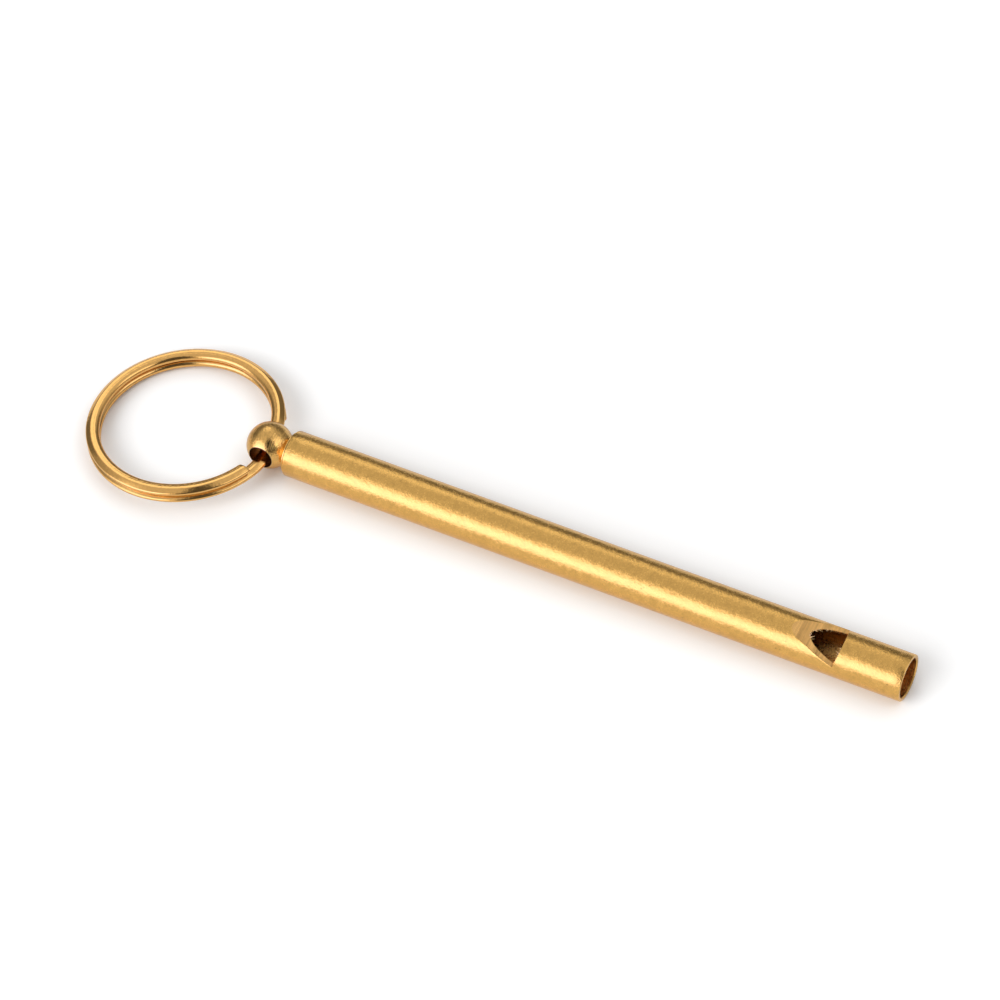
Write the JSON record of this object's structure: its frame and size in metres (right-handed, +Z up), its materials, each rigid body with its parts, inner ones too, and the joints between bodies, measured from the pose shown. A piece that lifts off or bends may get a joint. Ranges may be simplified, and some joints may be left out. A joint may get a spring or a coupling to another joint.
{
  "type": "tube whistle keychain",
  "caption": "Slim brass tube whistle with a milled sound window, an inner fipple block, a ball end with a cross hole and a split key ring that swings in it.",
  "frame": {"origin": "centre of the mouth, on the tube's axis", "axes": "+X out of the mouth along the tube, +Z up as the whistle lies on a table, window turned slightly towards -Y"},
  "size_m": [0.1118, 0.0255, 0.006],
  "materials": {
    "satin_brass": "tumbled satin brass with fine pits",
    "block_brass": "turned brass, darkened inside the bore",
    "turned_brass": "turned satin brass with tool marks",
    "ring_brass": "polished brass wire"
  },
  "bodies": {
    "whistle": {"whistle_tube": "satin_brass", "fipple_block": "block_brass", "ball_end_plug": "turned_brass"},
    "ring": {"split_ring": "ring_brass"}
  },
  "joints": [
    {"name": "ring_swing", "type": "hinge", "parent": "whistle", "child": "ring", "pos_m": [-0.08725, 0, 0], "axis": [0, 0.9925, -0.1219], "range_deg": [-165.2, 173.6]}
  ]
}
